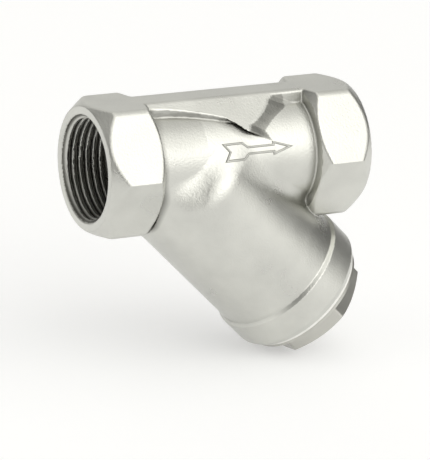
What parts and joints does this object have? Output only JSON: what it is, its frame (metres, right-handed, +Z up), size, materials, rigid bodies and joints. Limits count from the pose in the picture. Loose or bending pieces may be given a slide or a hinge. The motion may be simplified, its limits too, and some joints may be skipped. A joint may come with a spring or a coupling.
{
  "type": "threaded y strainer",
  "caption": "Cast stainless Y strainer for pipe: female-threaded hexagon ends, flow arrow, and a 45 degree branch with a screwed hexagon cap over a perforated screen.",
  "frame": {"origin": "middle of the run, on the axis shared by the inlet and outlet ports", "axes": "+X along the run from inlet to outlet, +Z up, away from the branch, +Y across; the branch leaves the run at 45 degrees towards +X and -Z"},
  "size_m": [0.0937, 0.0466, 0.0854],
  "materials": {
    "cast_stainless": "satin",
    "cap_stainless": "satin",
    "ptfe": "matte",
    "screen_stainless": "satin"
  },
  "bodies": {
    "strainer_body": {"body": "cast_stainless"},
    "strainer_insert": {"screen": "screen_stainless", "cap_gasket": "ptfe"},
    "screw_cap": {"cap": "cap_stainless"}
  },
  "joints": [
    {"name": "cap_travel", "type": "slide", "parent": "strainer_body", "child": "strainer_insert", "axis": [0.7071, 0, -0.7071], "range_m": [0, 0.012]},
    {"name": "cap_turn", "type": "hinge", "parent": "strainer_insert", "child": "screw_cap", "pos_m": [-0.0166, 0, 0], "axis": [0.7071, 0, -0.7071], "range_deg": [0, 2880.1]}
  ],
  "couplings": [
    {"joint": "cap_turn", "follows": "cap_travel", "rad_per_m": 4188.8}
  ]
}
